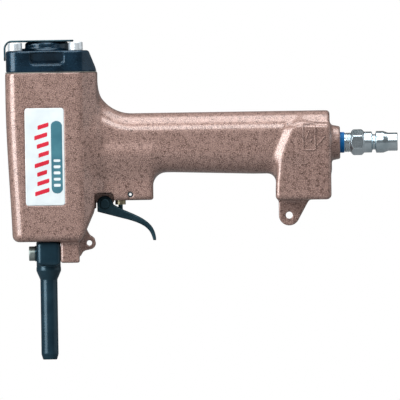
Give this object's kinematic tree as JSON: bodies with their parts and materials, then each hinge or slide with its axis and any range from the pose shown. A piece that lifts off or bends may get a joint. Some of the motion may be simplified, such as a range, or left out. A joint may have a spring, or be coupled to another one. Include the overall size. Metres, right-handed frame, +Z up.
{
  "type": "pneumatic nail puller",
  "caption": "Air-driven nail puller: painted cast body and handle, hollow nose tube with a driver rod inside, trigger lever and valve, bolted cap with exhaust hood, quick-connect air plug.",
  "frame": {"origin": "centre of the hollow nose's mouth, at the nose tip", "axes": "+Z up the driver's axis from the nose tip to the cap, +X from the driver's axis towards the handle and the air plug, -Y out of the side with the name plate"},
  "size_m": [0.2357, 0.0461, 0.192],
  "materials": {
    "hammertone_paint": "bronze hammertone enamel on a die casting",
    "black_paint": "semi-gloss black enamel on a die casting",
    "black_oxide_steel": "oiled black oxide",
    "satin_black": "satin black coat",
    "zinc_plated_steel": "bright zinc plate",
    "nickel_plated_steel": "turned steel, nickel plated",
    "ground_steel": "ground",
    "spring_steel": "bright spring wire and strip",
    "anodised_aluminium": "hard anodised",
    "brass": "turned brass",
    "bronze": "sintered bronze",
    "black_rubber": "moulded nitrile",
    "bumper_urethane": "moulded urethane",
    "white_acetal": "machined acetal",
    "gasket_sheet": "pressed fibre sheet",
    "sintered_muffler": "sintered, porous",
    "blue_thread_sealant": "dried thread sealant",
    "label_white": "printed aluminium foil plate"
  },
  "bodies": {
    "gun": {"housing": "hammertone_paint", "cylinder_cap": "black_paint", "cap_gasket": "gasket_sheet", "cap_bolts": "zinc_plated_steel", "exhaust_hood": "black_oxide_steel", "hood_screws": "black_oxide_steel", "muffler": "sintered_muffler", "nose_piece": "black_oxide_steel", "nose_screws": "zinc_plated_steel", "nose_washers": "zinc_plated_steel", "name_plate": "label_white", "cylinder_sleeve": "anodised_aluminium", "sleeve_o_rings": "black_rubber", "check_ring": "black_rubber", "bumper": "bumper_urethane", "driver_bush": "bronze", "head_valve_spring": "spring_steel", "boss_o_ring": "black_rubber", "trigger_pin": "black_oxide_steel", "pin_clip": "black_oxide_steel", "valve_body": "brass", "valve_o_rings": "black_rubber", "valve_cap": "brass", "valve_spring": "spring_steel", "valve_retaining_pin": "spring_steel", "air_plug": "nickel_plated_steel", "thread_seal": "blue_thread_sealant", "inlet_screen": "sintered_muffler"},
    "trigger_lever": {"trigger": "satin_black"},
    "trigger_stem": {"valve_stem": "ground_steel", "stem_seal": "black_rubber"},
    "driver": {"piston": "anodised_aluminium", "piston_ring": "black_rubber", "driver_rod": "ground_steel", "driver_nut": "ground_steel"},
    "main_valve": {"head_valve": "white_acetal", "head_valve_o_ring": "black_rubber", "head_valve_seal": "black_rubber"}
  },
  "joints": [
    {"name": "trigger_pivot", "type": "hinge", "parent": "gun", "child": "trigger_lever", "pos_m": [0.0343, 0, 0.093], "axis": [0, -1, 0], "range_deg": [0, 13], "stiffness_Nm_per_rad": 0.25, "springref_deg": -20.05},
    {"name": "valve_stem_slide", "type": "slide", "parent": "gun", "child": "trigger_stem", "axis": [0, 0, 1], "range_m": [0, 0.0023], "deforming": ["valve_spring"]},
    {"name": "piston_slide", "type": "slide", "parent": "gun", "child": "driver", "axis": [0, 0, -1], "range_m": [0, 0.05]},
    {"name": "head_valve_slide", "type": "slide", "parent": "gun", "child": "main_valve", "axis": [0, 0, 1], "range_m": [0, 0.004], "stiffness_N_per_m": 600, "springref_m": -0.006, "deforming": ["head_valve_spring"]}
  ],
  "couplings": [
    {"joint": "valve_stem_slide", "follows": "trigger_pivot", "m_per_rad": 0.0094}
  ]
}
